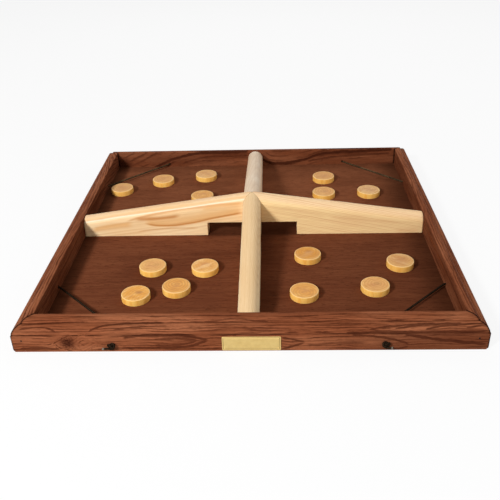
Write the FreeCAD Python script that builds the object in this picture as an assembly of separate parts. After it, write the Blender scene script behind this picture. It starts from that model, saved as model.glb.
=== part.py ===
import FreeCAD, Part
import math
import os

# Four player elastic puck board: a square tray of moulded rails, a cross of tapered
# dividers with a gate beside the centre of each, an elastic across every corner, and
# sixteen wooden pucks. Millimetres, +Z up, origin on the ground under the centre.

Vector = FreeCAD.Vector
UP = Vector(0, 0, 1)

# Rails: a moulding whose outer face carries two rounded steps
side = 600.0
rail_width = 26.3
rail_height = 41.1
face_height = 23.0
face_ease = 0.8
ovolo_start = 1.5
ovolo_end = 12.2
ovolo_top = 35.2
bead_start = 13.0
bead_end = 20.4
bead_radius = 8.2
inner_ease = 1.0
foot_ease = 0.4
corner_round = 3.0

# Floor panel: plywood let into a rebate under the rails
floor_top = 10.5
floor_thickness = 6.0
rebate_depth = 10.0
floor_gap = 0.4

# Dividers: tapered boards with a full round top edge, mitred together at the centre
divider_thickness = 28.0
divider_centre_height = 80.0
divider_wall_height = 40.5
divider_end_ease = 2.5
gate_far = 72.0
gate_top = 32.7
gate_ease = 1.6
gate_edge_ease = 1.2

# Corner elastics and the sloping holes that hold them
cord_diameter = 3.0
hole_diameter = 4.6
hole_from_centre = 172.0
hole_inner_z = 16.0
hole_outer_z = 10.0
cord_sides = 10
cord_bend_radius = 5.0
knot_clear = 0.3
knot_radius = 4.2
knot_crown_radius = 2.8
knot_crown_height = 4.4
knot_tail_length = 8.5
knot_tail_drop = 27.0

# Pucks
puck_diameter = 40.0
puck_thickness = 10.0
puck_ease = 0.9
puck_places = {
    "front_left": [(-145.7, -122.9), (-67.8, -124.9), (-158.5, -196.7), (-103.9, -178.4)],
    "front_right": [(85.1, -92.6), (174.7, -179.6), (220.0, -116.1), (75.4, -193.4)],
    "back_left": [(-244.3, 154.6), (-172.9, 192.1), (-93.3, 212.2), (-92.7, 118.5)],
    "back_right": [(129.2, 196.3), (124.9, 126.3), (205.4, 131.0), (43.0, 60.0)],
}

# Name plate and its pins
plate_length = 74.0
plate_height = 21.0
plate_thickness = 1.0
plate_centre_x = 4.5
plate_bottom = 1.6
plate_corner = 1.5
plate_pin_inset = 3.0
plate_pin_diameter = 1.8
plate_pin_proud = 0.5
plate_pin_length = 9.0

# Nails through the mitres, and wire staples from below
nail_from_corner = 13.8
nail_z = 17.5
nail_diameter = 2.4
nail_length = 40.0
staple_width = 10.0
staple_wire = 1.2
floor_staple_length = 16.0
floor_staple_inset = 5.0
floor_staple_places = (-210.0, -70.0, 70.0, 210.0)
divider_staple_length = 22.0
divider_staple_places = (105.0, 235.0)

half = side / 2
inner = half - rail_width
floor_bottom = floor_top - floor_thickness
quarter_turns = {"front": 0, "right": 90, "back": 180, "left": 270}
divider_turns = {"right": 0, "back": 90, "left": 180, "front": 270}
corner_turns = {"front_left": 0, "front_right": 90, "back_right": 180, "back_left": 270}


def turned(shape, degrees):
    copy = shape.copy()
    copy.rotate(Vector(0, 0, 0), UP, degrees)
    return copy


def arc(start, middle, end):
    return Part.Arc(start, middle, end).toShape()


def line(start, end):
    return Part.LineSegment(start, end).toShape()


def quarter_arc(start, end, centre, radius):
    """The convex arc from start to end around centre."""
    middle = (start + end) * 0.5 - centre
    middle.normalize()
    return arc(start, centre + middle * radius, end)


def box(low, high):
    size = high - low
    return Part.makeBox(size.x, size.y, size.z, low)


def revolved(edges):
    """A solid of revolution about Z from edges in the XZ plane that start and end on the axis."""
    start = edges[0].valueAt(edges[0].FirstParameter)
    end = edges[-1].valueAt(edges[-1].LastParameter)
    wire = Part.Wire(edges + [line(end, start)])
    return Part.Face(wire).revolve(Vector(0, 0, 0), UP, 360)


def straight(outline):
    """Edges between (radius, z) points, one after the other."""
    points = [Vector(radius, 0, z) for radius, z in outline]
    return [line(start, end) for start, end in zip(points, points[1:])]


def standing(shape, place, direction):
    """The shape, made along +Z from the origin, moved to place and turned along direction."""
    copy = shape.copy()
    copy.Placement = FreeCAD.Placement(place, FreeCAD.Rotation(UP, direction))
    return copy


def rail_section():
    """The front rail's moulding in the YZ plane: outer face at the left, floor rebate inside."""
    def at(offset, z):
        return Vector(0, offset - half, z)

    radius = ovolo_end - ovolo_start
    ovolo_low = ovolo_top - radius
    reach = bead_end - bead_start
    bead_low = rail_height - bead_radius + math.sqrt(bead_radius ** 2 - reach ** 2)
    ledge = face_height + face_ease
    rebate = rail_width - rebate_depth
    edges = [
        line(at(0, foot_ease), at(0, face_height)),
        quarter_arc(at(0, face_height), at(face_ease, ledge), at(face_ease, face_height), face_ease),
        line(at(face_ease, ledge), at(ovolo_start, ovolo_low)),
        quarter_arc(at(ovolo_start, ovolo_low), at(ovolo_end, ovolo_top), at(ovolo_end, ovolo_low), radius),
        line(at(ovolo_end, ovolo_top), at(bead_start, ovolo_top)),
        line(at(bead_start, ovolo_top), at(bead_start, bead_low)),
        quarter_arc(
            at(bead_start, bead_low),
            at(bead_end, rail_height),
            at(bead_end, rail_height - bead_radius),
            bead_radius,
        ),
        line(at(bead_end, rail_height), at(rail_width - inner_ease, rail_height)),
        quarter_arc(
            at(rail_width - inner_ease, rail_height),
            at(rail_width, rail_height - inner_ease),
            at(rail_width - inner_ease, rail_height - inner_ease),
            inner_ease,
        ),
        line(at(rail_width, rail_height - inner_ease), at(rail_width, floor_top)),
        line(at(rail_width, floor_top), at(rebate, floor_top)),
        line(at(rebate, floor_top), at(rebate, 0)),
        line(at(rebate, 0), at(foot_ease, 0)),
        line(at(foot_ease, 0), at(0, foot_ease)),
    ]
    return Part.Face(Part.Wire(edges))


def mitre_wedge(reach, low, high):
    """The quarter of the plan that faces -Y, bounded by the two diagonals."""
    corners = [Vector(0, 0, low), Vector(-reach, -reach, low), Vector(reach, -reach, low)]
    plan = Part.Face(Part.makePolygon(corners + [corners[0]]))
    return plan.extrude(Vector(0, 0, high - low))


def corner_waste():
    """What is taken off the front left corner: outside a post with a rounded foot."""
    centre = corner_round - half
    above = rail_height + 1
    block = box(Vector(-half - 1, -half - 1, -1), Vector(centre, centre, above))
    shoulder = Vector(corner_round, 0, corner_round)
    foot = quarter_arc(Vector(0, 0, 0), shoulder, Vector(0, 0, corner_round), corner_round)
    shank = straight([(corner_round, corner_round), (corner_round, above), (0, above)])
    post = revolved([foot] + shank)
    post.translate(Vector(centre, centre, 0))
    return block.cut(post)


def cord_hole(x):
    """The sloping hole through the front rail, longer than the wood at both ends."""
    outside = Vector(x, -half, hole_outer_z)
    inside = Vector(x, -inner, hole_inner_z)
    start = outside * 1.5 - inside * 0.5
    return Part.makeCylinder(hole_diameter / 2, 2 * rail_width, start, inside - outside)


def front_rail_blank():
    section = rail_section()
    section.translate(Vector(-half, 0, 0))
    rail = section.extrude(Vector(side, 0, 0))
    rail = rail.common(mitre_wedge(side, -1, rail_height + 1))
    for x in (-hole_from_centre, hole_from_centre):
        rail = rail.cut(cord_hole(x))
    for turn in (0, 90):
        rail = rail.cut(turned(corner_waste(), turn))
    return rail


def corner_nails():
    nails = []
    x = half - nail_from_corner
    for turn in (0, 180):
        for across in (-x, x):
            head = Vector(across, -half, nail_z)
            nail = Part.makeCylinder(nail_diameter / 2, nail_length, head, Vector(0, 1, 0))
            nails.append(turned(nail, turn))
    return nails


def staple(length):
    """A square wire staple along X whose crown lies at z = 0 and whose legs point up."""
    edge = staple_width / 2
    leg = edge - staple_wire
    outline = [
        Vector(-edge, 0, 0),
        Vector(edge, 0, 0),
        Vector(edge, 0, length),
        Vector(leg, 0, length),
        Vector(leg, 0, staple_wire),
        Vector(-leg, 0, staple_wire),
        Vector(-leg, 0, length),
        Vector(-edge, 0, length),
    ]
    face = Part.Face(Part.makePolygon(outline + [outline[0]]))
    face.translate(Vector(0, -staple_wire / 2, 0))
    return face.extrude(Vector(0, staple_wire, 0))


def staples(length, places, row, turns):
    """A row of staples for each turn, set into the floor panel from below."""
    found = []
    for turn in turns.values():
        for x in places:
            one = staple(length)
            one.translate(Vector(x, -row, floor_bottom))
            found.append(turned(one, turn))
    return found


def floor_panel():
    edge = inner + rebate_depth - floor_gap
    return box(Vector(-edge, -edge, floor_bottom), Vector(edge, edge, floor_top))


def divider_side():
    """The divider's outline seen from its side, extruded to its thickness, with the gate cut."""
    outline = [
        Vector(0, 0, floor_top),
        Vector(inner, 0, floor_top),
        Vector(inner, 0, divider_wall_height),
        Vector(0, 0, divider_centre_height),
    ]
    face = Part.Face(Part.makePolygon(outline + [outline[0]]))
    face.translate(Vector(0, -divider_thickness / 2, 0))
    blank = face.extrude(Vector(0, divider_thickness, 0))
    post = divider_thickness / 2
    low = floor_top - 1
    gate = box(Vector(post, -post - 1, low), Vector(gate_far, post + 1, gate_top))
    gate = gate.makeFillet(gate_ease, gate_top_corner(gate))
    return blank.cut(gate)


def gate_top_corner(gate):
    """The gate's upper edge on the side away from the centre."""
    found = []
    for edge in gate.Edges:
        middle = edge.CenterOfMass
        if abs(middle.x - gate_far) < 0.01 and abs(middle.z - gate_top) < 0.01:
            found.append(edge)
    return found


def gate_edges(divider):
    """The edges of the gate's mouth on the divider's two faces, and of its foot."""
    found = []
    for edge in divider.Edges:
        bounds = edge.BoundBox
        on_face = abs(abs(bounds.YMin) - divider_thickness / 2) < 0.01 and bounds.YLength < 0.01
        at_mouth = bounds.XMin > gate_far - gate_ease - 0.01 and bounds.XMax < gate_far + 0.01
        if on_face and at_mouth and bounds.ZMax < gate_top + 0.01:
            found.append(edge)
    return found


def divider_round():
    """A bar along the divider's slope whose top is a full half round."""
    radius = divider_thickness / 2
    start = Vector(0, 0, divider_centre_height)
    slope = Vector(inner, 0, divider_wall_height - divider_centre_height)
    slope.normalize()
    start = start - slope * divider_thickness
    square = Vector(-slope.z, 0, slope.x)
    across = Vector(0, radius, 0)
    shoulder = start - square * radius
    foot = start - square * divider_centre_height * 1.5
    edges = [
        arc(shoulder - across, start, shoulder + across),
        line(shoulder + across, foot + across),
        line(foot + across, foot - across),
        line(foot - across, shoulder - across),
    ]
    return Part.Face(Part.Wire(edges)).extrude(slope * (inner + 4 * divider_thickness))


def right_divider():
    divider = divider_side().common(divider_round())
    wall_edges = []
    for edge in divider.Edges:
        at_wall = abs(edge.BoundBox.XMin - inner) < 0.01 and abs(edge.BoundBox.XMax - inner) < 0.01
        if at_wall and edge.BoundBox.ZMax > floor_top + 1:
            wall_edges.append(edge)
    divider = divider.makeFillet(divider_end_ease, wall_edges)
    divider = divider.makeFillet(gate_edge_ease, gate_edges(divider))
    wedge = turned(mitre_wedge(side, 0, divider_centre_height + 1), 90)
    return divider.common(wedge)


def cord_route():
    """The front left elastic's line: out of the front rail, across the corner, into the left rail."""
    overhang = knot_clear + cord_diameter / 2
    slope = (hole_inner_z - hole_outer_z) / rail_width
    front_end = Vector(-hole_from_centre, -half - overhang, hole_outer_z - slope * overhang)
    front_mouth = Vector(-hole_from_centre, -inner, hole_inner_z)
    left_mouth = Vector(-inner, -hole_from_centre, hole_inner_z)
    left_end = Vector(-half - overhang, -hole_from_centre, hole_outer_z - slope * overhang)
    return [front_end, front_mouth, left_mouth, left_end]


def rounded_path(points, radius):
    """Straight runs joined by tangent arcs of one radius."""
    edges = []
    reached = points[0]
    for before, corner, after in zip(points, points[1:], points[2:]):
        back = before - corner
        back.normalize()
        ahead = after - corner
        ahead.normalize()
        half_turn = (math.pi - back.getAngle(ahead)) / 2
        tangent = radius * math.tan(half_turn)
        inward = back + ahead
        inward.normalize()
        depth = radius / math.cos(half_turn) - radius
        edges.append(line(reached, corner + back * tangent))
        edges.append(arc(corner + back * tangent, corner + inward * depth, corner + ahead * tangent))
        reached = corner + ahead * tangent
    edges.append(line(reached, points[-1]))
    return Part.Wire(edges)


def ring(radius, place, direction):
    """A many sided outline of that radius, square to the direction."""
    points = []
    for number in range(cord_sides + 1):
        angle = 2 * math.pi * number / cord_sides
        points.append(Vector(radius * math.cos(angle), radius * math.sin(angle), 0))
    return standing(Part.makePolygon(points), place, direction)


def knot(end, outward, tail_side):
    """A tight overhand knot against the rail's face: a turn of cord under a crown, and a short tail."""
    cord = cord_diameter / 2
    stations = [
        (knot_radius - cord, -cord),
        (knot_radius, -cord / 2),
        (knot_radius, cord / 2),
        (knot_crown_radius, knot_crown_height - cord / 2),
        (knot_crown_radius - cord, knot_crown_height),
    ]
    rings = [ring(radius, end + outward * height, outward) for radius, height in stations]
    lump = Part.makeLoft(rings, True, True)
    drop = math.radians(knot_tail_drop)
    along = tail_side * math.cos(drop) - UP * math.sin(drop)
    tail = Part.Face(ring(cord, end + outward * cord, along)).extrude(along * knot_tail_length)
    return lump.fuse(tail)


def front_left_elastic():
    points = cord_route()
    path = rounded_path(points, cord_bend_radius)
    section = ring(cord_diameter / 2, points[0], points[1] - points[0])
    cord = path.makePipeShell([section], True, False)
    front_knot = knot(points[0], Vector(0, -1, 0), Vector(-1, 0, 0))
    left_knot = knot(points[-1], Vector(-1, 0, 0), Vector(0, -1, 0))
    return cord.fuse([front_knot, left_knot])


def puck(x, y):
    radius = puck_diameter / 2
    top = puck_thickness
    flat = radius - puck_ease
    under = [(0, 0), (flat, 0), (radius, puck_ease)]
    over = [(radius, top - puck_ease), (flat, top), (0, top)]
    shape = revolved(straight(under + over))
    shape.translate(Vector(x, y, floor_top))
    return shape


def name_plate():
    low = Vector(plate_centre_x - plate_length / 2, -half - plate_thickness, plate_bottom)
    high = Vector(plate_centre_x + plate_length / 2, -half, plate_bottom + plate_height)
    plate = box(low, high)
    corners = []
    for edge in plate.Edges:
        if edge.BoundBox.DiagonalLength < 2 * plate_thickness:
            corners.append(edge)
    return plate.makeFillet(plate_corner, corners)


def plate_pins():
    pins = []
    half_length = plate_length / 2 - plate_pin_inset
    face = -half - plate_thickness - plate_pin_proud
    for x in (plate_centre_x - half_length, plate_centre_x + half_length):
        for z in (plate_bottom + plate_pin_inset, plate_bottom + plate_height - plate_pin_inset):
            place = Vector(x, face, z)
            pins.append(Part.makeCylinder(plate_pin_diameter / 2, plate_pin_length, place, Vector(0, 1, 0)))
    return pins


def less(shape, tools):
    """The shape with a seat cut for each tool that reaches into it."""
    for tool in tools:
        if shape.BoundBox.intersect(tool.BoundBox):
            shape = shape.cut(tool)
    return shape


def build():
    nails = corner_nails()
    edge_row = inner + floor_staple_inset
    edge_staples = staples(floor_staple_length, floor_staple_places, edge_row, quarter_turns)
    cross_staples = staples(divider_staple_length, divider_staple_places, 0, divider_turns)
    pins = plate_pins()
    nodes = {}
    blank = front_rail_blank()
    for name, turn in quarter_turns.items():
        nodes[name + "_rail"] = less(turned(blank, turn), nails + edge_staples + pins)
    nodes["floor_panel"] = less(floor_panel(), edge_staples + cross_staples)
    divider = right_divider()
    for name, turn in divider_turns.items():
        nodes[name + "_divider"] = less(turned(divider, turn), cross_staples)
    elastic = front_left_elastic()
    for name, turn in corner_turns.items():
        nodes[name + "_elastic"] = turned(elastic, turn)
    for quarter, places in puck_places.items():
        for number, (x, y) in enumerate(places, 1):
            nodes[f"{quarter}_puck_{number}"] = puck(x, y)
    nodes["name_plate"] = less(name_plate(), pins)
    nodes["plate_pins"] = Part.makeCompound(pins)
    nodes["corner_nails"] = Part.makeCompound(nails)
    nodes["floor_staples"] = Part.makeCompound(edge_staples)
    nodes["divider_staples"] = Part.makeCompound(cross_staples)
    return nodes


def main():
    os.makedirs("parts", exist_ok=True)
    nodes = build()
    for name, shape in nodes.items():
        print(f"{name}: {len(shape.Solids)} solid, valid {shape.isValid()}, {shape.Volume / 1000:.2f} cm3")
        shape.exportStep(f"parts/{name}.step")
    route = rounded_path(cord_route(), cord_bend_radius)
    print(f"elastic between its knots: {route.Length:.1f} mm, bends of {cord_bend_radius:.1f} mm")


main()
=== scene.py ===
import math

import bpy
import numpy as np
from mathutils import Matrix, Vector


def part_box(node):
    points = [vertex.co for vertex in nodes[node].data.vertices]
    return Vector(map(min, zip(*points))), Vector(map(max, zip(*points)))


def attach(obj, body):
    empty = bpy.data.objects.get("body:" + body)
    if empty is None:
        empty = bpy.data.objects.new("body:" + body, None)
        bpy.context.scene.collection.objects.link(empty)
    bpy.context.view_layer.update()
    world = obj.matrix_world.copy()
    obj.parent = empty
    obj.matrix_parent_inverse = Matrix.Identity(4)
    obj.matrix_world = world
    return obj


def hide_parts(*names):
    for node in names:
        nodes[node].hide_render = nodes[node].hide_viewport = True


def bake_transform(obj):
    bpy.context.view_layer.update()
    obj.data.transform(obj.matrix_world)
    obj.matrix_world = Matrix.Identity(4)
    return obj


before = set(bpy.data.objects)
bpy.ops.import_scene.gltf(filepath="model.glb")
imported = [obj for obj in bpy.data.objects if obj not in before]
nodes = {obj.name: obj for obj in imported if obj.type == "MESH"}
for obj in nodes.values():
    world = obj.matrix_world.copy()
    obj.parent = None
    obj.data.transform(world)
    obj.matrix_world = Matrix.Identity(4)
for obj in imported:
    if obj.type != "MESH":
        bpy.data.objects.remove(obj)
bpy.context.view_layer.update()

print("frame loaded:", len(nodes), "CAD nodes")


# Camera, as fitted to the tray's four rails

view = {
    "place": (0.032472, -0.96288, 0.529812),
    "yaw": -0.0395,           # turned a little to the left, radians
    "pitch": 0.52366,         # looking down
    "roll": -0.03056,
    "lens": 47.974,
    "sensor": 36.0,
}


def standAt(thing, place, right, up, away):
    # the columns of the matrix are the thing's own right, up and backward directions
    matrix = Matrix.Identity(4)
    for row in range(3):
        matrix[row][0], matrix[row][1], matrix[row][2] = right[row], up[row], away[row]
        matrix[row][3] = place[row]
    thing.matrix_world = matrix


def addCamera():
    # forward, right and up from yaw and pitch, then right and up turned about forward by the roll
    yaw, pitch, roll = view["yaw"], view["pitch"], view["roll"]
    forward = np.array([math.sin(yaw) * math.cos(pitch), math.cos(yaw) * math.cos(pitch), -math.sin(pitch)])
    level = np.array([math.cos(yaw), -math.sin(yaw), 0.0])
    upward = np.cross(level, forward)
    right = math.cos(roll) * level + math.sin(roll) * upward
    up = -math.sin(roll) * level + math.cos(roll) * upward
    lens = bpy.data.cameras.new("camera")
    lens.lens = view["lens"]
    lens.sensor_width = view["sensor"]
    lens.clip_start = 0.01
    camera = bpy.data.objects.new("camera", lens)
    bpy.context.scene.collection.objects.link(camera)
    standAt(camera, view["place"], right, up, -forward)
    bpy.context.scene.camera = camera


addCamera()
print("camera placed")


# Shader expressions

class Reading:
    # a socket that can stand in a Python expression
    def __init__(self, finish, socket):
        self.finish = finish
        self.socket = socket

    def maths(self, operation, *values):
        return self.finish.add("ShaderNodeMath", {"operation": operation}, list(values))

    def __add__(self, other):
        return self.maths("ADD", self, other)

    def __radd__(self, other):
        return self.maths("ADD", other, self)

    def __sub__(self, other):
        return self.maths("SUBTRACT", self, other)

    def __rsub__(self, other):
        return self.maths("SUBTRACT", other, self)

    def __mul__(self, other):
        return self.maths("MULTIPLY", self, other)

    def __rmul__(self, other):
        return self.maths("MULTIPLY", other, self)

    def __truediv__(self, other):
        return self.maths("DIVIDE", self, other)

    def __pow__(self, other):
        return self.maths("POWER", self, other)

    def __abs__(self):
        return self.maths("ABSOLUTE", self)

    def part(self):
        return self.maths("FRACT", self)

    def angle(self, other):
        return self.maths("ARCTAN2", self, other)

    def least(self, other):
        return self.maths("MINIMUM", self, other)

    def most(self, other):
        return self.maths("MAXIMUM", self, other)

    def rise(self, low, high):
        # 0 below low, 1 above high, eased between; falls where low is above high
        settings = {"interpolation_type": "SMOOTHSTEP", "clamp": True}
        sockets = {"Value": self, "From Min": min(low, high), "From Max": max(low, high)}
        if low > high:
            sockets.update({"To Min": 1.0, "To Max": 0.0})
        return self.finish.add("ShaderNodeMapRange", settings, sockets)

    def hump(self, centre, reach):
        # 1 at the centre, 0 from reach away on either side
        return abs(self - centre).rise(reach, 0.0)


class Finish:
    # the nodes of one material, or of the world
    def __init__(self, owner):
        self.owner = owner
        owner.use_nodes = True
        self.tree = owner.node_tree
        self.tree.nodes.clear()

    def add(self, kind, settings=None, sockets=None, output=0):
        node = self.tree.nodes.new(kind)
        for key, value in (settings or {}).items():
            if key == "line":
                self.setLine(node.mapping, value)
            else:
                setattr(node, key, value)
        named = sockets.items() if isinstance(sockets, dict) else enumerate(sockets or [])
        for key, value in named:
            socket = node.inputs[key]
            if isinstance(value, Reading):
                self.tree.links.new(value.socket, socket)
            elif socket.type == "RGBA":
                socket.default_value = (*value, 1.0)
            else:
                socket.default_value = value
        readings = [Reading(self, socket) for socket in node.outputs]
        return readings if output is None or not readings else readings[output]

    def setLine(self, mapping, points):
        line = mapping.curves[0]
        while len(line.points) < len(points):
            line.points.new(0.5, 0.5)
        for spot, place in zip(line.points, points):
            spot.location = place
        mapping.update()

    def place(self):
        return self.split(self.add("ShaderNodeTexCoord", output=3))

    def attribute(self, name):
        return self.split(self.add("ShaderNodeAttribute", {"attribute_name": name}, output=1))

    def split(self, vector):
        return self.add("ShaderNodeSeparateXYZ", None, [vector], output=None)

    def noise(self, x, y, z, detail=2.0, roughness=0.5):
        vector = self.add("ShaderNodeCombineXYZ", None, [x, y, z])
        sockets = {"Vector": vector, "Scale": 1.0, "Detail": detail, "Roughness": roughness}
        return self.add("ShaderNodeTexNoise", None, sockets)

    def mix(self, factor, first, second, blend="MIX"):
        settings = {"data_type": "RGBA", "blend_type": blend}
        return self.add("ShaderNodeMix", settings, {0: factor, 6: first, 7: second}, output=2)

    def line(self, reading, points):
        # a smooth line through the points, given in the same unit as the reading
        (left, right), (low, high) = [(min(side), max(side)) for side in zip(*points)]
        high = max(high, low + 1e-6)
        even = [((x - left) / (right - left), (y - low) / (high - low)) for x, y in points]
        sockets = {"Factor": 1.0, "Value": (reading - left) * (1 / (right - left))}
        return self.add("ShaderNodeFloatCurve", {"line": even}, sockets) * (high - low) + low

    def band(self, along, height, above, below, points, fade=10):
        # 1 on a line through the points, fading above and below it and towards both ends
        off = height - self.line(along, points)
        band = off.rise(above, 0.0) * off.rise(-below, 0.0)
        first, last = points[0][0], points[-1][0]
        return band * along.rise(first, first + fade) * along.rise(last, last - fade)

    def bump(self, height, strength, distance):
        return self.add("ShaderNodeBump", None, {"Height": height, "Strength": strength, "Distance": distance})

    def close(self, base, roughness, normal=None, **constants):
        sockets = {"Base Color": base, "Roughness": roughness}
        if normal is not None:
            sockets["Normal"] = normal
        for key, value in constants.items():
            sockets[key] = value
        return self.give(self.add("ShaderNodeBsdfPrincipled", None, sockets))

    def give(self, surface):
        self.add("ShaderNodeOutputMaterial", None, [surface])
        return self.owner


def startFinish(name):
    return Finish(bpy.data.materials.new(name))


def lin(red, green, blue):
    # a colour given as 0 to 255 screen values, as the linear light that the shader works in
    return tuple(((c / 255 + 0.055) / 1.055) ** 2.4 if c > 10 else c / 255 / 12.92 for c in (red, green, blue))


def setMaterial(thing, material):
    if not thing.material_slots:
        thing.data.materials.append(material)
    for slot in thing.material_slots:
        slot.material = material


mm = 0.001


# Stained, moulded rails. All grain is worked out in millimetres.

def boardAxes(finish, run):
    # position along a board, across it in plan, and up
    x, y, z = [value * 1000 for value in finish.place()]
    return (x, y, z) if run == "x" else (y, x, z)


railWood = {
    "light": lin(160, 98, 66),
    "middle": lin(134, 75, 47),
    "dark": lin(66, 29, 16),
    "pore": lin(42, 17, 9),
    "gap": lin(20, 8, 5),
    "streak": lin(178, 98, 54),
    "roughness": 0.50,
    # girth is measured up the face and over the moulding to the inner side
    # figures: along, girth, reach to the left and right, half height, rings added
    # lines: darkness, reach above and below, then the line as (along, girth)
    # lenses: along, girth, half length, half height, darkness
    # inner: strength of the painted shade on the rail's inner side
    "front": {
        "run": "x", "inward": 1, "spacing": 4.7, "ripple": 5, "soft": 0.30, "shift": 3.1, "plain": 0.80, "inner": 0.25, "tone": 0.0, "deeper": (60, 220, 0.45),
        "bend": [],
        "figures": [(-226, 13, 26, 12, 15, 3.4), (-208, 14, 22, 26, 16, 3.2)],
        "lines": [
            (0.80, 1.8, 1.6, [(-292, 35), (-274, 39), (-258, 39), (-247, 35), (-236, 25)]),
            (0.70, 1.4, 1.2, [(-297, 2), (-281, 6), (-269, 7), (-250, 6), (-235, 2)]),
            (0.75, 1.2, 1.4, [(-290, 43), (-265, 46), (-240, 48), (-200, 48.5)]),
            (0.80, 1.6, 2.0, [(-204, 28), (-195, 36), (-180, 42), (-150, 45), (-100, 47)]),
            (0.65, 1.4, 1.8, [(-174, 29), (-162, 36), (-141, 39), (-96, 41)]),
            (0.80, 2.0, 3.0, [(-160, 19), (-120, 26), (-84, 25.5), (-62, 21), (-46, 16.5)]),
            (0.75, 3.0, 1.6, [(-165, 4), (-120, 5), (-84, 6), (-62, 11.5), (-46, 17)]),
            (0.70, 1.2, 2.2, [(-122, 18), (-92, 20.5), (-76, 19.5), (-60, 16.5)]),
            (0.70, 2.2, 1.2, [(-122, 9), (-92, 9.5), (-76, 12), (-60, 16.5)]),
            (0.75, 1.4, 2.4, [(38, 21), (56, 18), (66, 15.5), (75, 12.5)]),
            (0.75, 2.4, 1.4, [(38, 2), (54, 6), (66, 10), (75, 13)]),
            (0.55, 1.6, 1.4, [(70, 6.5), (84, 9), (112, 11.5)]),
            (0.75, 1.6, 2.4, [(125, 25), (156, 22), (178, 18), (192, 13), (204, 7.5)]),
            (0.70, 2.0, 1.6, [(150, -2), (184, 1), (194, 4), (204, 8)]),
            (0.80, 2.0, 2.6, [(190, 25), (214, 20.5), (241, 16), (300, 8)]),
            (0.80, 2.2, 1.4, [(118, 27.6), (180, 28), (240, 28), (300, 29)]),
            (0.80, 1.2, 2.4, [(146, 30), (154, 33.5), (168, 37), (192, 40), (235, 42.5)]),
            (0.80, 1.2, 2.4, [(178, 31), (187, 34.5), (202, 38), (228, 40.5), (268, 42.5)]),
            (0.80, 1.2, 2.4, [(215, 31), (225, 34.5), (240, 38), (264, 40.5), (296, 42.5)]),
            (0.75, 1.2, 2.2, [(264, 32), (272, 35), (284, 38), (300, 40)]),
            (0.60, 1.4, 1.6, [(-60, 46), (-36, 50), (-16, 52), (4, 50), (30, 46)]),
            (0.55, 1.4, 1.4, [(20, 38), (60, 41), (110, 40), (150, 43)]),
            (0.50, 1.4, 1.4, [(-90, 34), (-40, 37), (10, 35), (60, 34)]),
        ],
        "lenses": [
            (55, 28.8, 11, 1.7, 0.75), (93, 28.8, 16, 1.9, 0.8), (129, 12, 24, 4.5, 0.5), (2, 28.5, 19, 2.6, 0.45),
            (12, 48.4, 11, 1.3, 0.75), (-64, 48.1, 11, 1.3, 0.6), (186, 48.3, 17, 1.6, 0.85), (242, 48.2, 16, 1.3, 0.8),
            (-82, 14, 16, 5.0, 0.3), (278, 31.5, 22, 1.2, 0.6), (225, 29.8, 26, 1.1, 0.55), (170, 29.0, 16, 1.0, 0.5),
            (-262, 27.2, 26, 1.0, 0.5), (250, 24.2, 40, 1.1, 0.5),
        ],
        "knots": [(-228, 14.0, 9.5)],
        "streaks": [],
    },
    "right": {
        "run": "y", "inward": -1, "spacing": 4.2, "ripple": 3, "soft": 0.25, "shift": 22.2, "plain": 0.65, "inner": 0.42, "tone": 0.0, "deeper": (0, 300, 0.0),
        "bend": [(-300, 0), (-100, 5), (80, -2), (300, 6)],
        "figures": [],
        "lines": [(0.6, 1.6, 2.0, [(-290, 50), (-200, 56), (-100, 53), (20, 57)])],
        "lenses": [(-210, 55, 60, 1.4, 0.7), (-40, 50, 70, 1.2, 0.7), (140, 57, 60, 1.2, 0.6), (0, 36, 80, 1.2, 0.5)],
        "knots": [],
        "streaks": [(-60, 52.5, 150, 1.8, 0.6)],
    },
    "back": {
        "run": "x", "inward": -1, "spacing": 11.0, "ripple": 4, "soft": 0.50, "shift": 9.4, "plain": 0.6, "inner": 0.14, "tone": 0.10, "deeper": (0, 300, 0.0),
        "bend": [
            (-300, -32), (-250, -10), (-198, 12), (-158, 29), (-114, 38), (-60, 43), (-20, 47), (9, 44), (45, 29),
            (88, 34), (147, 50), (200, 53), (300, 56),
        ],
        "figures": [],
        "lines": [
            (0.90, 2.2, 4.5, [(-225, 24), (-198, 35.5), (-158, 52.5), (-114, 62), (-60, 63), (-10, 66)]),
            (0.60, 2.0, 3.0, [(-150, 38), (-120, 49), (-90, 54), (-50, 55), (-10, 56)]),
            (0.90, 2.2, 4.5, [(-6, 60), (9, 53.5), (45, 38.5), (88, 44), (147, 59.5), (200, 62), (272, 64)]),
            (0.60, 2.0, 2.5, [(100, 40), (150, 49), (200, 53), (268, 55)]),
        ],
        # the first lens, large and dark at the left end, is a painted shadow of the left rail on the back rail's inner
        # side
        "lenses": [(-272, 36, 34, 26, 0.9), (-140, 48, 100, 16, 0.35), (-88, 45, 16, 3.2, 0.6), (-60, 58, 50, 1.4, 0.5), (60, 40, 24, 2.4, 0.45), (30, 34, 18, 2.0, 0.5)],
        "knots": [],
        "streaks": [],
    },
    "left": {
        "run": "y", "inward": 1, "spacing": 4.4, "ripple": 3, "soft": 0.25, "shift": 15.7, "plain": 0.85, "inner": 0.40, "tone": 0.10, "deeper": (0, 300, 0.0),
        "bend": [(-300, 2), (-120, -3), (60, 3), (180, -6), (300, -34)],
        "figures": [],
        "lines": [(0.6, 1.6, 2.0, [(-250, 56), (-120, 51), (0, 54), (150, 50)])],
        "lenses": [(-200, 50, 70, 1.3, 0.55), (-20, 45, 60, 1.2, 0.5), (140, 50, 50, 1.2, 0.55)],
        "knots": [],
        "streaks": [(-60, 54.5, 170, 1.6, 0.35)],
    },
}


def spotted(along, girth, spots):
    # the darkest of a list of soft ellipses
    most = 0.0
    for spotAlong, spotGirth, length, height, dark in spots:
        beside = (along - spotAlong) / length
        higher = (girth - spotGirth) / height
        here = (beside * beside + higher * higher).rise(1.0, 0.0) * dark
        most = here.most(most)
    return most


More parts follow.
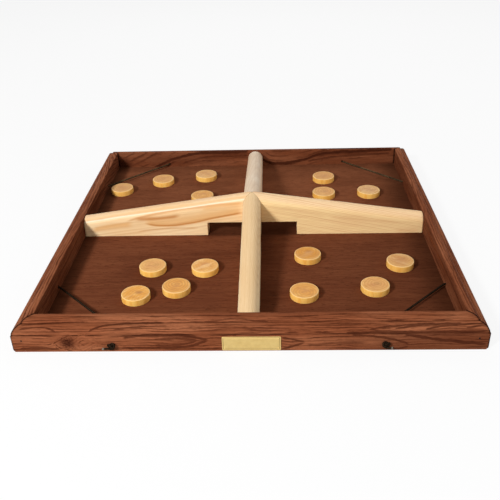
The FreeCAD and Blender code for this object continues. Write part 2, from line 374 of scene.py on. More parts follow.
def railMaterial(name):
    grain = railWood[name]
    finish = startFinish(name + "RailWood")
    along, across, up = boardAxes(finish, grain["run"])
    depth = across * grain["inward"] + 300
    girth = up + depth * 0.9
    shift = grain["shift"]
    wander = finish.noise(along * 0.010 + shift, girth * 0.035, shift) - 0.5
    ripple = finish.noise(along * 0.034 + shift, girth * 0.10, shift) - 0.5
    flutter = finish.noise(along * 0.12 + shift, girth * 0.4, shift) - 0.5
    # ring number: girth, bent and wavering, over the ring width
    level = girth + wander * 13 + ripple * grain["ripple"] + flutter * 1.6
    if grain["bend"]:
        level = level - finish.line(along, grain["bend"])
    number = level / grain["spacing"] + shift
    number = number + (finish.noise(number * 0.55, shift, 0.0, 1.0) - 0.5) * 1.6
    # inside a figure it is the distance from the figure's middle instead, as nested pointed loops
    for middle, height, left, right, half, rings in grain["figures"]:
        beside = along - middle + ripple * 14 + flutter * 10
        beside = beside.most(0.0) / right - beside.least(0.0) / left
        higher = abs(girth - height + ripple * 5 + flutter * 2) / half
        reach = beside + higher
        number = number + reach.rise(1.08, 0.86) * (reach * rings - number)
    phase = number.part()
    late = phase.rise(grain["soft"], 0.84) * phase.rise(1.0, 0.90)
    strength = finish.noise(number * 0.71, along * 0.022, shift, 1.0).rise(0.36, 0.62)
    late = late * (0.22 + strength * 0.78)
    lens = 0.0
    if grain["lenses"]:
        ragged = girth + flutter * 3 + (finish.noise(along * 0.12, girth * 2.0, shift) - 0.5) * 1.2
        lens = spotted(along, ragged, grain["lenses"])
    late = (late * grain["plain"]).most(lens)
    bent = girth + ripple * 3.5 + flutter * 2.4
    for dark, above, below, points in grain["lines"]:
        band = finish.band(along, bent, above * 1.6, below * 1.6, points)
        late = late.most(band.rise(0.10, 0.70) * dark)
    # pores: short dark dashes along the grain, thickest in the dark part of a ring
    pores = finish.noise(along * 0.11, across * 1.7, up * 1.7, 2.0, 0.6)
    pores = (pores + late * 0.10).rise(0.57, 0.70)
    fibre = finish.noise(along * 0.022, across * 0.8, up * 0.8, 3.0, 0.7)
    patch = finish.noise(along * 0.008 + shift, across * 0.03, up * 0.05, 2.0)
    base = finish.mix(patch.rise(0.34, 0.68), railWood["middle"], railWood["light"])
    base = finish.mix(fibre.rise(0.38, 0.72) * 0.40, base, railWood["dark"])
    base = finish.mix(fibre.rise(0.46, 0.30) * 0.25, base, railWood["light"])
    base = finish.mix(late * 0.95, base, railWood["dark"])
    if grain["streaks"]:
        base = finish.mix(spotted(along, girth + flutter * 2, grain["streaks"]), base, railWood["streak"])
    base = finish.mix(pores * 0.50, base, railWood["pore"])
    for middle, height, size in grain["knots"]:
        beside = (along - middle) / size
        higher = (girth - height) / size * 1.1
        reach = (beside * beside + higher * higher) ** 0.5
        rays = finish.noise(higher.angle(beside) * 7.0, reach * 3.4, depth * 0.5, 2.0, 0.6)
        base = finish.mix(reach.rise(1.9, 0.2) * 0.55, base, railWood["dark"])
        base = finish.mix(reach.rise(1.25, 0.35) * rays.rise(0.40, 0.54) * 0.95, base, railWood["pore"])
    # painted shade in the ledge's corner, partly a darker stain there; painted shade on the inner side; the front face
    # darker low down towards its right end
    base = finish.mix(girth.hump(26.0, 1.5) * (0.25 + strength * 0.45), base, railWood["pore"])
    low, high, deeper = grain["deeper"]
    tone = depth.rise(25.4, 26.2) * grain["inner"] + along.rise(low, high) * girth.rise(34, 25) * deeper + grain["tone"]
    base = finish.mix(tone, base, railWood["dark"])
    # the mitre's open line, uneven
    seam = abs(abs(along) - abs(across)) + (finish.noise(along * 0.09, across * 0.09, up * 0.3) - 0.5) * 0.6
    base = finish.mix(seam.rise(3.6, 0.8) * 0.55, base, railWood["pore"])
    seam = seam.rise(1.4, 0.5)
    base = finish.mix(seam, base, railWood["gap"])
    height = fibre * 0.35 - late * 0.25 - pores * 0.6 - seam * 3.0
    roughness = railWood["roughness"] + pores * 0.22 + late * 0.06 + patch * 0.06
    normal = finish.bump(height, 0.35, 0.0004)
    return finish.close(base, roughness, normal, **{"Specular IOR Level": 0.01})


for name in ("front", "back", "left", "right"):
    setMaterial(nodes[name + "_rail"], railMaterial(name))
print("rails finished")


# Dark plywood floor

floorWood = {
    "light": lin(117, 67, 43),
    "middle": lin(100, 53, 34),
    "dark": lin(75, 37, 22),
    "pore": lin(43, 19, 10),
    # painted sheen: the panel is drawn lighter towards the back
    "paler": 0.5,            # towards the back
    # colour of the painted shade on the panel
    "stain": lin(27, 11, 5),
    "wall": 273.7,           # inner side of the rails, from the middle
    # painted shade along each wall: axis, side, strength, width
    "edges": [("x", 1, 0.52, 52), ("x", -1, 0.55, 28), ("y", 1, 0.14, 40), ("y", -1, 0.20, 40)],
    # painted shade right of the front divider
    "foot": (14, 58, 0.34),  # right of the front divider: from, to, strength
    # painted shade under the gates
    "gate": (82, 0.55),      # beside the middle: half width, strength
}


def floorMaterial():
    finish = startFinish("floorWood")
    x, y, z = boardAxes(finish, "x")
    wander = finish.noise(x * 0.0025, y * 0.006, 0.0) - 0.5
    streak = finish.noise(x * 0.010, (y + wander * 20) * 0.16, z, 4.0, 0.66)
    fine = finish.noise(x * 0.060, y * 0.95, z * 0.8, 3.0, 0.66)
    cloud = finish.noise(x * 0.008, y * 0.015, z, 2.0)
    base = finish.mix(streak.rise(0.30, 0.70) * 0.70, floorWood["light"], floorWood["middle"])
    # painted sheen, lighter towards the back
    base = finish.mix(y.rise(-200, 250) * floorWood["paler"], base, lin(152, 94, 64))
    base = finish.mix(cloud.rise(0.42, 0.66) * 0.32, base, floorWood["dark"])
    base = finish.mix(fine.rise(0.44, 0.70) * 0.50, base, floorWood["dark"])
    dash = finish.noise(x * 0.11 + 4.0, y * 0.80, z, 2.0, 0.5).rise(0.60, 0.72)
    base = finish.mix(dash * 0.55, base, floorWood["pore"])
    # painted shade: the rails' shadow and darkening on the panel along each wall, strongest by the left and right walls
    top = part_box("floor_panel")[1].z * 1000
    upper = z.rise(top - 1.5, top - 0.5)
    for axis, side, strength, width in floorWood["edges"]:
        gap = floorWood["wall"] - (x if axis == "x" else y) * side
        base = finish.mix(gap.rise(width, 0.0) * upper * strength, base, floorWood["stain"])
    # painted shade beside the front divider, under the gates and over the front right of the panel
    near, far, strength = floorWood["foot"]
    foot = x.rise(far, near) * x.rise(0, near) * y.rise(10, -10) * strength
    half, strength = floorWood["gate"]
    gate = abs(x).rise(half + 12, half) * y.rise(-22, -12) * y.rise(85, 25) * strength
    foot = foot.most(gate).most(x.rise(0, 240) * y.rise(80, -60) * 0.12)
    base = finish.mix(foot * upper, base, floorWood["stain"])
    normal = finish.bump(fine * 0.5 - dash * 0.6, 0.25, 0.0003)
    return finish.close(base, 0.50 + streak * 0.12 + dash * 0.15, normal, **{"Specular IOR Level": 0.0})


setMaterial(nodes["floor_panel"], floorMaterial())
print("floor finished")


# Pale dividers

dividerWood = {
    "highlight": lin(255, 236, 206),
    # rings: spacing, slope along the board, slope across it, waver, depth of colour
    # veins: colour, strength, reach above and below, then the line as (along, up)
    # ridges: colour, strength, distance across, half width
    # side: a brighter, warmer colour for the upright sides, painted light
    "left": {
        "run": "x", "pale": lin(241, 209, 166), "warm": lin(236, 180, 112), "line": lin(196, 124, 58), "shift": 4.3,
        "side": lin(255, 227, 179), "rings": (6.5, -0.150, 0.25, 5.0, 0.22), "cloud": 0.30,
        "veins": [
            ("warm", 0.75, 24, 3.0, [(-176, 34), (-142, 29), (-104, 32), (-60, 41), (-12, 51)]),
            ("line", 0.80, 3.6, 1.8, [(-176, 34), (-142, 29), (-104, 32), (-60, 41), (-12, 51)]),
            ("line", 0.75, 6.0, 4.5, [(-192, 40), (-177, 41), (-150, 42), (-112, 47)]),
            ("line", 0.55, 2.6, 3.6, [(-206, 36), (-167, 47), (-118, 56), (-70, 62), (-8, 68)]),
            ("line", 0.42, 2.6, 2.6, [(-190, 17), (-165, 22), (-142, 24), (-84, 24)]),
            ("warm", 0.75, 6.0, 9.0, [(-266, 20), (-235, 28), (-190, 33)]),
            ("warm", 0.50, 5.0, 6.0, [(-84, 55), (-50, 62), (-10, 66)]),
        ],
        "ridges": [("warm", 0.35, -8.0, 3.0), ("highlight", 0.9, -11.2, 1.0)],
    },
    "right": {
        "run": "x", "pale": lin(248, 215, 169), "warm": lin(239, 194, 140), "line": lin(206, 140, 88), "shift": 8.9,
        "side": lin(255, 223, 162), "rings": (2.7, 0.21, 0.35, 3.0, 0.42), "cloud": 0.4,
        "veins": [
            ("line", 0.20, 2.0, 4.0, [(120, 42), (170, 36), (220, 31), (264, 27)]),
            ("warm", 0.60, 8.0, 10.0, [(225, 14), (250, 14), (272, 14)]),
            ("line", 0.15, 3.0, 4.0, [(20, 60), (70, 52), (120, 40)]),
        ],
        "ridges": [("pale", 0.4, -8.5, 1.6)],
    },
    "front": {
        "run": "y", "pale": lin(234, 202, 156), "warm": lin(226, 188, 138), "line": lin(206, 164, 112), "shift": 12.6,
        "side": lin(255, 232, 188), "rings": (3.0, 0.02, 1.4, 1.0, 0.30), "cloud": 0.5,
        "veins": [],
        "ridges": [("line", 0.20, 1.0, 1.2), ("line", 0.22, 6.0, 1.0), ("line", 0.18, -5.0, 1.0), ("pale", 0.4, -3.0, 1.4)],
    },
    "back": {
        "run": "y", "pale": lin(238, 218, 192), "warm": lin(226, 198, 166), "line": lin(194, 158, 126), "shift": 17.1,
        "side": lin(255, 226, 190), "rings": (4.6, 0.05, 0.6, 3.0, 0.32), "cloud": 0.8,
        "veins": [],
        "ridges": [("line", 0.2, 3.0, 1.6)],
    },
}


def dividerMaterial(name):
    wood = dividerWood[name]
    finish = startFinish(name + "DividerWood")
    along, across, up = boardAxes(finish, wood["run"])
    spacing, slope, lean, waver, depth = wood["rings"]
    shift = wood["shift"]
    wander = finish.noise(along * 0.008 + shift, across * 0.02, up * 0.02) - 0.5
    # ring number: height, sloped along and across the board and wavering, over the ring width
    number = (up + along * slope + across * lean + wander * waver) / spacing + shift
    number = number + (finish.noise(number * 0.5, shift, 0.0, 1.0) - 0.5) * 1.4
    phase = number.part()
    late = phase.rise(0.15, 0.85) * phase.rise(1.0, 0.88)
    strength = finish.noise(number * 0.83, along * 0.006, shift, 1.0).rise(0.32, 0.66)
    late = late * (0.3 + strength * 0.7) * depth
    fibre = finish.noise(along * 0.03, across * 0.9, up * 0.9, 2.0, 0.65)
    cloud = finish.noise(along * 0.010, across * 0.03, up * 0.035 + shift, 2.0)
    # painted light: the upright sides are drawn brighter and warmer than the top, for light from the front and warm
    # light bounced from the floor
    base = finish.mix(abs(across).rise(10.0, 13.8) * 0.9, wood["pale"], wood["side"])
    base = finish.mix(cloud.rise(0.3, 0.7) * wood["cloud"], base, wood["warm"])
    for colour, dark, above, below, points in wood["veins"]:
        band = finish.band(along, up + wander * 4, above, below, points, 14)
        base = finish.mix(band * dark, base, wood[colour])
    for colour, dark, centre, half in wood["ridges"]:
        shade = wood.get(colour) or dividerWood[colour]
        base = finish.mix((across + wander * 2).hump(centre, half) * dark, base, shade)
    base = finish.mix(late, base, wood["line"])
    base = finish.mix(fibre.rise(0.45, 0.8) * 0.22, base, wood["line"])
    seam = abs(abs(along) - abs(across)) + (finish.noise(along * 0.3, across * 0.3, up * 0.3) - 0.5) * 0.3
    centre = (along * along + across * across) ** 0.5
    seam = seam.rise(0.45, 0.12).most(centre.rise(1.4, 0.7))
    base = finish.mix(seam * 0.8, base, lin(120, 84, 50))
    normal = finish.bump(fibre * 0.5 - late * 0.2 - seam * 2.0, 0.18, 0.0003)
    return finish.close(base, 0.46 + fibre * 0.12 + late * 0.05, normal, **{"Specular IOR Level": 0.15})


for name in ("left", "right", "front", "back"):
    setMaterial(nodes[name + "_divider"], dividerMaterial(name))
print("dividers finished")


# Meshes from numpy grids

def gridMesh(name, points, wrap=False, caps=()):
    # points is rows x columns x 3; each cell between neighbours is one quad, the last column joins the first if wrap
    rows, columns = points.shape[:2]
    index = np.arange(rows * columns).reshape(rows, columns)
    right = np.roll(index, -1, axis=1) if wrap else index
    here, there = (index, right) if wrap else (index[:, :-1], index[:, 1:])
    quads = np.stack([here[:-1], there[:-1], there[1:], here[1:]], axis=-1).reshape(-1, 4)
    faces = quads.tolist()
    for cap in caps:
        row = index[cap].tolist()
        faces.append(row if cap else row[::-1])
    return meshPiece(name, points.reshape(-1, 3), faces)


def meshPiece(name, points, faces):
    mesh = bpy.data.meshes.new(name)
    mesh.from_pydata(points, [], faces)
    mesh.polygons.foreach_set("use_smooth", np.ones(len(faces), bool))
    mesh.update()
    piece = bpy.data.objects.new(name, mesh)
    bpy.context.scene.collection.objects.link(piece)
    return piece


def addVectors(piece, name, values):
    # one vector for each point, or the same one for all
    spread = np.broadcast_to(np.asarray(values, np.float32), (len(piece.data.vertices), 3))
    attribute = piece.data.attributes.new(name, "FLOAT_VECTOR", "POINT")
    attribute.data.foreach_set("vector", spread.ravel())


def camel(node, ending):
    first, *rest = node.split("_")
    return first + "".join(word.title() for word in rest) + ending


# Pucks: slices of a turned rod

puck = {
    "ringWidth": 4.2,
    "golden": lin(242, 194, 112),
    "core": lin(200, 142, 94),
    "pink": lin(222, 176, 122),
    "amber": lin(230, 160, 60),
    "deep": lin(200, 134, 66),
    "pale": lin(248, 214, 158),
    "mark": lin(158, 104, 58),
    "side": lin(255, 202, 106),
    "sideDeep": lin(244, 176, 76),
    "ease": 0.0011,
    "around": 96,
    "usual": {"warm": 0.5, "light": 1.0, "pith": (2, 3), "rings": 0.45, "patch": (0, 0, 0), "streak": (0, 0.00)},
    # warmth and lightness, ring centre, ring depth, dark patch (x, y, depth), pale streak (turn in degrees, depth)
    "front_left": [
        {"warm": 0.40, "light": 0.96, "pith": (-3, 1), "rings": 0.27, "patch": (6, 1, 0.30)},
        {"warm": 0.60, "light": 1.05, "pith": (30, 10), "rings": 0.22, "streak": (35, 0.40)},
        {"warm": 0.90, "light": 1.02, "pith": (26, -18), "rings": 0.45, "patch": (5, 1, 0.60), "streak": (40, 0.25)},
        {"warm": 0.82, "light": 0.91, "pith": (1, 3), "rings": 0.63, "patch": (-1, 4, 0.12)},
    ],
    "front_right": [
        {"warm": 1.00, "light": 0.76, "pith": (-2, 4), "rings": 0.45, "patch": (2, 6, 0.40), "streak": (20, 0.17)},
        {"warm": 0.45, "light": 0.93, "pith": (1, 1), "rings": 0.51, "patch": (3, 1, 0.40)},
        {"warm": 0.34, "light": 0.74, "pith": (0, 8), "rings": 0.33, "patch": (5, 5, 0.30), "streak": (-35, 0.25)},
        {"warm": 0.80, "light": 0.90, "pith": (0, -6), "rings": 0.45},
    ],
    "back_left": [
        {"warm": 0.26, "light": 0.80, "pith": (3, 2), "rings": 0.38},
        {"warm": 0.38, "light": 0.94, "pith": (0, 0), "rings": 0.57, "patch": (0, 1, 0.25)},
        {"warm": 0.20, "light": 0.96, "pith": (24, -26), "rings": 0.45, "streak": (40, 0.20)},
        {"warm": 0.70, "light": 0.96, "pith": (1, -2), "rings": 0.48},
    ],
    "back_right": [
        {"warm": 0.42, "light": 0.85, "pith": (-1, 1), "rings": 0.45},
        {"warm": 0.42, "light": 0.93, "pith": (1, 2), "rings": 0.57, "patch": (1, 1, 0.20)},
        {"warm": 0.00, "light": 0.93, "pith": (-4, 2), "rings": 0.30, "patch": (4, -3, 0.25), "streak": (60, 0.25)},
        {"warm": 0.50, "light": 0.95, "pith": (3, 0), "rings": 0.45},
    ],
}


def puckMaterial():
    finish = startFinish("puckWood")
    x, y, z = finish.attribute("local")
    warm, light, seed = finish.attribute("tone")
    pithX, pithY, depth = finish.attribute("slice")
    patchX, patchY, patchDark = finish.attribute("patch")
    cosine, sine, pale = finish.attribute("streak")
    radius = (x * x + y * y) ** 0.5
    wander = finish.noise(x * 0.07 + seed, y * 0.07, z * 0.01) - 0.5
    # growth rings round the pith, each a soft rise and a sharper end
    reach = ((x - pithX) * (x - pithX) + (y - pithY) * (y - pithY)) ** 0.5 + wander * 6
    phase = (reach / puck["ringWidth"]).part()
    ring = phase.rise(0.2, 0.80) * phase.rise(1.0, 0.82)
    blotch = finish.noise(x * 0.09 + seed * 3, y * 0.13, seed, 3.0, 0.6)
    grain = finish.noise(x * 1.1, y * 1.1, z * 0.05, 2.0)
    base = finish.mix(warm, puck["pink"], puck["amber"])
    base = finish.mix(blotch.rise(0.46, 0.32) * 0.55, base, puck["golden"])
    base = finish.mix(blotch.rise(0.48, 0.66) * 0.45, base, puck["deep"])
    base = finish.mix(radius.rise(11, 3) * blotch.rise(0.3, 0.6) * 0.45, base, puck["core"])
    base = finish.mix(radius.rise(12, 18.5) * 0.35, base, puck["golden"])
    base = finish.mix(ring * depth, base, puck["deep"])
    sweep = x * cosine + y * sine
    other = y * cosine - x * sine
    wedge = finish.noise(sweep * 0.035 + seed * 5, other * 0.20, seed, 2.0, 0.5).rise(0.50, 0.66)
    base = finish.mix(wedge * pale, base, puck["pale"])
    awayX = x - patchX
    awayY = (y - patchY) * 1.4
    blot = ((awayX * awayX + awayY * awayY) ** 0.5 + (blotch - 0.5) * 9).rise(7.5, 1.0)
    base = finish.mix(blot * patchDark, base, puck["mark"])
    base = finish.mix(grain.rise(0.48, 0.75) * 0.22, base, puck["deep"])
    # the side runs with the grain, with faint upright bands
    turn = y.angle(x)
    band = finish.noise(turn * 2.4 + seed, z * 0.02, seed, 3.0, 0.6)
    side = finish.mix(band.rise(0.38, 0.66) * 0.8, puck["side"], puck["sideDeep"])
    side = finish.mix(grain.rise(0.50, 0.78) * 0.30, side, puck["mark"])
    side = finish.mix((1 - light) * 0.6, side, puck["mark"])
    base = finish.mix(1 - light, base, puck["mark"])
    base = finish.mix(radius.rise(19.2, 19.7), base, side)
    # painted highlight along both rims of the eased edge, partly pale worn wood there
    rim = abs(z - 5).rise(3.8, 4.7) * radius.rise(18.2, 19.2)
    base = finish.mix(rim * 0.55, base, puck["pale"])
    normal = finish.bump(grain * 0.5 - ring * 0.4, 0.25, 0.0003)
    return finish.close(base, 0.40 + grain * 0.15, normal, **{"Specular IOR Level": 0.15})


def puckPiece(node, look, seed):
    # profile turned about the puck's axis: flat face, quarter round, side, quarter round, flat face
    low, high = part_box(node)
    centre = (np.array(low) + np.array(high)) / 2
    radius = (high.x - low.x) / 2
    thick = high.z - low.z
    ease = puck["ease"]
    turn = np.linspace(0, math.pi / 2, 7)
    flat = np.linspace(0.0004, radius - ease, 8)[:-1]
    lowR = np.concatenate([flat, radius - ease + ease * np.sin(turn)])
    lowZ = np.concatenate([np.zeros(len(flat)), ease - ease * np.cos(turn)])
    r = np.concatenate([lowR, lowR[::-1]])
    h = np.concatenate([lowZ, thick - lowZ[::-1]])
    angle = np.linspace(0, 2 * math.pi, puck["around"], endpoint=False)
    rng = np.random.default_rng(seed)
    waves = sum(rng.normal(0, 1) * np.cos(k * angle + rng.uniform(0, 6.28)) for k in (2, 3, 5))
    wobble = 1 - 0.0025 * (1 + np.tanh(waves))
    x = r[:, None] * np.cos(angle) * wobble
    y = r[:, None] * np.sin(angle) * wobble
    z = np.repeat(h[:, None], len(angle), axis=1)
    local = np.stack([x, y, z], axis=-1)
    points = local + np.array([centre[0], centre[1], low.z])
    piece = gridMesh(camel(node, ""), points, wrap=True, caps=(0, -1))
    look = {**puck["usual"], **look}
    streakTurn = math.radians(look["streak"][0])
    addVectors(piece, "local", local.reshape(-1, 3) * 1000)
    addVectors(piece, "tone", (look["warm"], look["light"], rng.uniform(0, 9)))
    addVectors(piece, "slice", (*look["pith"], look["rings"]))
    addVectors(piece, "patch", look["patch"])
    addVectors(piece, "streak", (math.cos(streakTurn), math.sin(streakTurn), look["streak"][1]))
    setMaterial(piece, puckFinish)
    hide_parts(node)
    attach(piece, node)


puckFinish = puckMaterial()
quarters = ("front_left", "front_right", "back_left", "back_right")
for row, quarter in enumerate(quarters):
    for number, look in enumerate(puck[quarter], 1):
        puckPiece(f"{quarter}_puck_{number}", look, 10 * row + number)
print("pucks made")


# Corner elastics: braided cord, a half each way from the middle

elastic = {
    "dark": lin(18, 13, 9),
    # the same cord in two copies: the back copy is drawn lighter as painted light and sheen from the key, the front
    # copy darker
    "light": {"front": lin(70, 54, 40), "back": lin(138, 112, 80)},
    "end": lin(150, 142, 128),
    "radius": 0.0015,
    "knotRadius": 0.0014,
    "sides": 20,
    "strands": 8,
    "pitch": 0.0060,         # one turn of a strand, along the cord
    "relief": 0.00012,
    "step": 0.0005,
    "hole": 0.172,           # the hole's place along its rail, from the middle
    "innerZ": 0.016,
    "outerZ": 0.010,
    "half": 0.300,
    "inner": 0.2737,
    "loop": 0.00150,         # the knot's size
    "turns": {"front_left": 0.0, "front_right": 0.5, "back_right": 1.0, "back_left": 1.5},
    "longTail": [(4.4, 0.2, -3.4), (7.6, 0.6, -3.6), (11.6, 0.8, -4.6)],
    "shortTail": [(2.6, 0.4, -4.2), (5.2, 0.7, -5.4), (8.4, 0.9, -5.6)],
}


def elasticMaterial(row):
    finish = startFinish(row + "ElasticCord")
    weave, away, around = finish.attribute("braid")
    fleck = finish.noise(away * 3.0, around * 2.6, weave * 3.0)
    base = finish.mix(weave.rise(0.25, 0.95), elastic["dark"], elastic["light"][row])
    base = finish.mix(fleck.rise(0.40, 0.70) * 0.5, base, elastic["dark"])
    base = finish.mix(away.rise(0.55, 0.10) * fleck.rise(0.30, 0.55) * 0.8, base, elastic["end"])
    return finish.close(base, 0.6 + fleck * 0.2, finish.bump(fleck, 0.3, 0.0001), **{"Specular IOR Level": 0.0})


def routeLine(corners):
    # the smooth spline that has the route's points as its control points, read at even steps of length
    curve = bpy.data.curves.new("route", "CURVE")
    curve.dimensions = "3D"
    spline = curve.splines.new("NURBS")
    spline.points.add(len(corners) - 1)
    spline.points.foreach_set("co", np.column_stack([corners, np.ones(len(corners))]).ravel())
    spline.order_u = 3
    spline.use_endpoint_u = True
    spline.resolution_u = 16
    thing = bpy.data.objects.new("route", curve)
    mesh = bpy.data.meshes.new_from_object(thing)
    line = np.empty(len(mesh.vertices) * 3)
    mesh.vertices.foreach_get("co", line)
    line = line.reshape(-1, 3)
    bpy.data.objects.remove(thing)
    bpy.data.curves.remove(curve)
    bpy.data.meshes.remove(mesh)
    gone = np.concatenate([[0], np.cumsum(np.linalg.norm(np.diff(line, axis=0), axis=1))])
    even = np.linspace(0, gone[-1], int(gone[-1] / elastic["step"]) + 1)
    return np.stack([np.interp(even, gone, line[:, k]) for k in range(3)], axis=-1), even


def cordMesh(name, corners):
    # a braided tube: its radius swells where a strand of either family lies on top
    line, gone = routeLine(corners)
    ahead = np.gradient(line, axis=0)
    ahead /= np.linalg.norm(ahead, axis=1)[:, None]
    side = np.zeros_like(line)
    start = np.cross(ahead[0], [0.3, 0.2, 0.93])
    side[0] = start / np.linalg.norm(start)
    for k in range(1, len(line)):            # carried along without twist
        moved = side[k - 1] - ahead[k] * (side[k - 1] @ ahead[k])
        side[k] = moved / np.linalg.norm(moved)
    up = np.cross(ahead, side)
    angle = np.linspace(0, 2 * math.pi, elastic["sides"], endpoint=False)
    along = gone[:, None] / elastic["pitch"] * 2 * math.pi
    count = elastic["strands"] / 2
    first = np.cos(count * (angle + along))
    second = np.cos(count * (angle - along))
    weave = 0.5 + 0.5 * np.maximum(first, second) * np.sign(first * second + 0.2)
    # drawn thinner in the knot, opened again at the cut end
    left = gone[-1] - gone
    girth = elastic["radius"] + (elastic["knotRadius"] - elastic["radius"]) * np.interp(left, [0.045, 0.052], [1, 0])
    girth = girth * (1 + 0.35 * np.interp(left, [0, 0.0022], [1, 0]))
    r = girth[:, None] + elastic["relief"] * (weave - 1.0)
    spread = np.cos(angle)[None, :, None] * side[:, None, :] + np.sin(angle)[None, :, None] * up[:, None, :]
    piece = gridMesh(name, line[:, None, :] + r[..., None] * spread, wrap=True, caps=(0, -1))
    grid = np.broadcast_arrays(weave, left[:, None] / elastic["pitch"], angle[None, :])
    addVectors(piece, "braid", np.stack(grid, axis=-1).reshape(-1, 3))
    return piece


def elasticHalf(quarter, side, tail):
    # worked out at the front rail's left hole, then mirrored in the corner's diagonal and turned to the others
    e = elastic
    hole, half, inner = e["hole"], e["half"], e["inner"]
    middle = -(hole + inner) / 2
    fall = (e["innerZ"] - e["outerZ"]) / (half - inner)
    route = [
        (middle, middle, e["innerZ"]),
        (-hole - 0.012, -inner + 0.012, e["innerZ"]),
        (-hole - 0.002, -inner + 0.002, e["innerZ"]),
        (-hole, -inner - 0.003, e["innerZ"] - fall * 0.003),
        (-hole, -half + 0.004, e["outerZ"] + fall * 0.004),
        (-hole, -half + 0.001, e["outerZ"] + fall * 0.001),
    ]
    # overhand knot: a three lobed loop whose depth swings three times in two turns
    out = -half - 0.0026
    t = np.linspace(math.pi / 3, 2 * math.pi, 26)
    reach = e["loop"] * (2 + np.cos(3 * t))
    turned = 2 * t + 1.5 * math.pi
    knot = np.stack([
        -hole - reach * np.cos(turned),
        out - e["loop"] * 1.02 * np.sin(3 * t),
        e["outerZ"] + reach * np.sin(turned),
    ], axis=-1)
    ending = [(-hole - a * mm, out + b * mm, e["outerZ"] + c * mm) for a, b, c in e[tail]]
    corners = np.array(route + [tuple(p) for p in knot] + ending)
    if side == "second":
        corners = corners[:, [1, 0, 2]]
    turn = e["turns"][quarter] * math.pi
    c, s = math.cos(turn), math.sin(turn)
    corners = corners @ np.array([[c, s, 0], [-s, c, 0], [0, 0, 1]])
    piece = cordMesh(camel(quarter + "_elastic_" + side, ""), corners)
    setMaterial(piece, elasticFinish[quarter.split("_")[0]])
    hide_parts(quarter + "_elastic")
    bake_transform(piece)


elasticFinish = {row: elasticMaterial(row) for row in elastic["light"]}
for quarter in quarters:
    elasticHalf(quarter, "first", "shortTail" if quarter == "back_left" else "longTail")
    elasticHalf(quarter, "second", "longTail" if quarter == "front_left" else "shortTail")
print("elastics made")


# Name plate: bare brass with an engraved border and domed pins

plate = {
    "brass": lin(216, 187, 120),
    "dull": lin(190, 156, 90),
    "line": lin(120, 92, 48),
    "corner": 0.0016,
    "border": 0.0017,        # the engraved line, in from the edge
    "groove": 0.00030,       # half its width
    "cut": 0.00022,          # its depth
    "ease": 0.00035,
    "pinRadius": 0.0010,
    "pinRise": 0.00055,
}


def brassMaterial(name, groove):
    finish = startFinish(name)
    x, y, z = boardAxes(finish, "x")
    brushed = finish.noise(x * 0.05, y * 0.9, z * 3.2, 2.0, 0.6)
    cloud = finish.noise(x * 0.13, y * 0.13, z * 0.13, 3.0, 0.6)
    base = finish.mix(cloud.rise(0.35, 0.7) * 0.35, plate["brass"], plate["dull"])
    base = finish.mix(brushed.rise(0.5, 0.8) * 0.3, base, plate["dull"])
    if groove:
        inset, cut, spare = finish.attribute("inset")
        base = finish.mix(cut * 0.85, base, plate["line"])
    return finish.close(base, 0.36 + cloud * 0.18, finish.bump(brushed, 0.12, 0.0001), Metallic=0.75)


def platePiece():
    # rounded rectangle drawn at each inset, carried from the back edge over the rim to the face and its groove
    low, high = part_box("name_plate")
    middle = (np.array(low) + np.array(high)) / 2
    halfWide, halfTall, thick = (high.x - low.x) / 2, (high.z - low.z) / 2, high.y - low.y
    ease, border, groove = plate["ease"], plate["border"], plate["groove"]
    turn = np.linspace(0, math.pi / 2, 5)
    inset = np.concatenate([
        [0.003, 0.0], ease * (1 - np.cos(turn)), border + groove * np.array([-1.0, -0.5, 0.0, 0.5, 1.0]), [0.004, 0.008],
    ])
    proud = np.concatenate([[0.0, 0.0], thick - ease + ease * np.sin(turn), [thick] * 7])
    cut = np.zeros(len(inset))
    cut[7:12] = (0.0, 1.0, 1.0, 1.0, 0.0)
    proud = proud - cut * plate["cut"]
    arc = np.linspace(0, math.pi / 2, 7)
    quarter = np.concatenate([arc + k * math.pi / 2 for k in range(4)])
    signX = np.repeat([1, -1, -1, 1], 7)
    signZ = np.repeat([1, 1, -1, -1], 7)
    corner = np.maximum(plate["corner"] - inset, 0.0003)[:, None]
    x = signX * (halfWide - inset[:, None] - corner) + corner * np.cos(quarter)
    z = signZ * (halfTall - inset[:, None] - corner) + corner * np.sin(quarter)
    y = np.broadcast_to(high.y - proud[:, None], x.shape)
    points = np.stack([middle[0] + x, y, middle[2] + z], axis=-1)
    piece = gridMesh("namePlate", points, wrap=True, caps=(0, -1))
    values = np.broadcast_arrays(inset[:, None] * 1000, cut[:, None], x)
    addVectors(piece, "inset", np.stack(values, axis=-1).reshape(-1, 3))
    setMaterial(piece, brassMaterial("brass", True))
    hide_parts("name_plate")
    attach(piece, "board")


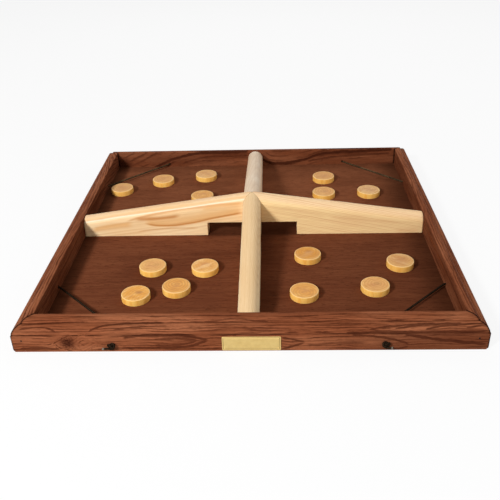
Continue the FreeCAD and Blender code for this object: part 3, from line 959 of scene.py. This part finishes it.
def pinPieces():
    # a shallow dome at each corner of the plate: radius falls as the cosine, height rises as the sine
    low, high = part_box("plate_pins")
    plateLow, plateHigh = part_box("name_plate")
    turn = np.linspace(0, math.pi / 2 - 0.06, 7)
    angle = np.linspace(0, 2 * math.pi, 20, endpoint=False)
    reach = np.concatenate([[plate["pinRadius"]], plate["pinRadius"] * np.cos(turn)])
    rise = np.concatenate([[-0.0003], plate["pinRise"] * np.sin(turn)])
    grid = np.stack([
        reach[:, None] * np.cos(angle), np.repeat(-rise[:, None], 20, axis=1), reach[:, None] * np.sin(angle),
    ], axis=-1)
    inX, inZ = low.x + plate["pinRadius"], low.z + plate["pinRadius"]
    outX, outZ = high.x - plate["pinRadius"], high.z - plate["pinRadius"]
    places = np.array([(px, plateLow.y, pz) for px in (inX, outX) for pz in (inZ, outZ)])
    index = np.arange(grid.shape[0] * 20).reshape(-1, 20)
    right = np.roll(index, -1, axis=1)
    quads = np.stack([index[:-1], right[:-1], right[1:], index[1:]], axis=-1).reshape(-1, 4).tolist()
    quads += [index[0][::-1].tolist(), index[-1].tolist()]
    points = (places[:, None, None, :] + grid[None]).reshape(-1, 3)
    faces = [[corner + k * index.size for corner in face] for k in range(4) for face in quads]
    piece = meshPiece("platePins", points, faces)
    setMaterial(piece, brassMaterial("pinBrass", False))
    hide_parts("plate_pins")
    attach(piece, "board")


platePiece()
pinPieces()
print("plate made")


# Nails and staples

def steelMaterial(name, colour, spot):
    finish = startFinish(name)
    x, y, z = boardAxes(finish, "x")
    stain = finish.noise(x * 0.7, y * 0.7, z * 0.7, 3.0, 0.6)
    base = finish.mix(stain.rise(0.35, 0.7), colour, spot)
    return finish.close(base, 0.45 + stain * 0.3, finish.bump(stain, 0.3, 0.0001), Metallic=0.8)


setMaterial(nodes["corner_nails"], steelMaterial("nailSteel", lin(34, 26, 22), lin(20, 12, 9)))
stapleFinish = steelMaterial("stapleSteel", lin(150, 148, 144), lin(112, 108, 104))
for name in ("floor_staples", "divider_staples"):
    setMaterial(nodes[name], stapleFinish)
print("fasteners finished")


# Floor, light and background

studio = {
    "groundSize": 6.0,
    "paper": (0.86, 0.86, 0.86),
    "whiteShare": 0.88,      # how much of the ground's white is plain to the camera, the rest takes the shadow
    "world": 0.24,
    # name, place, diameter, watts
    "lamps": [
        ("key", (-1.3, -1.72, 1.45), 0.42, 54.0),
        ("frontBox", (0.0, -1.9, 1.0), 1.6, 6.0),
        ("rightBox", (1.8, 0.0, 0.9), 1.6, 9.0),
        ("backBox", (0.0, 1.6, 1.4), 1.6, 8.0),
    ],
}


def addLamp(name, place, size, power):
    # minus Z of the lamp looks at the middle of the board
    lamp = bpy.data.lights.new(name, "AREA")
    lamp.shape = "DISK"
    lamp.size = size
    lamp.energy = power
    thing = bpy.data.objects.new(name, lamp)
    bpy.context.scene.collection.objects.link(thing)
    away = np.array(place) - np.array((0.0, 0.0, 0.03))
    away /= np.linalg.norm(away)
    side = np.cross([0.0, 0.0, 1.0], away)
    side /= np.linalg.norm(side)
    standAt(thing, place, side, np.cross(away, side), away)


def plainWhite(finish):
    # 1 for rays that see the background straight, in a reflection or through glass
    seen = finish.add("ShaderNodeLightPath", output=None)
    camera, glossy, through = seen[0], seen[3], seen[6]
    return camera.most(glossy).most(through)


def addStudio():
    size = studio["groundSize"] / 2
    corners = np.array([[[-size, -size, 0], [size, -size, 0]], [[-size, size, 0], [size, size, 0]]])
    ground = gridMesh("ground", corners)
    finish = startFinish("groundPaper")
    x, y, z = boardAxes(finish, "x")
    fibre = finish.noise(x * 0.06, y * 0.06, 0.0)
    paper = finish.mix(fibre * 0.2, studio["paper"], (0.80, 0.80, 0.80))
    matt = finish.add("ShaderNodeBsdfDiffuse", None, {"Color": paper})
    white = finish.add("ShaderNodeEmission", None, {"Color": (1.0, 1.0, 1.0), "Strength": 1.0})
    finish.give(finish.add("ShaderNodeMixShader", None, [plainWhite(finish) * studio["whiteShare"], matt, white]))
    setMaterial(ground, finish.owner)
    for lamp in studio["lamps"]:
        addLamp(*lamp)
    world = bpy.data.worlds.new("studio")
    bpy.context.scene.world = world
    sky = Finish(world)
    soft = sky.add("ShaderNodeBackground", None, {"Color": (1.0, 1.0, 1.0), "Strength": studio["world"]})
    bright = sky.add("ShaderNodeBackground", None, {"Color": (1.0, 1.0, 1.0), "Strength": 1.0})
    mixed = sky.add("ShaderNodeMixShader", None, [plainWhite(sky), soft, bright])
    sky.add("ShaderNodeOutputWorld", None, [mixed])


addStudio()
bpy.context.scene.view_settings.view_transform = "Standard"
print("studio lit")
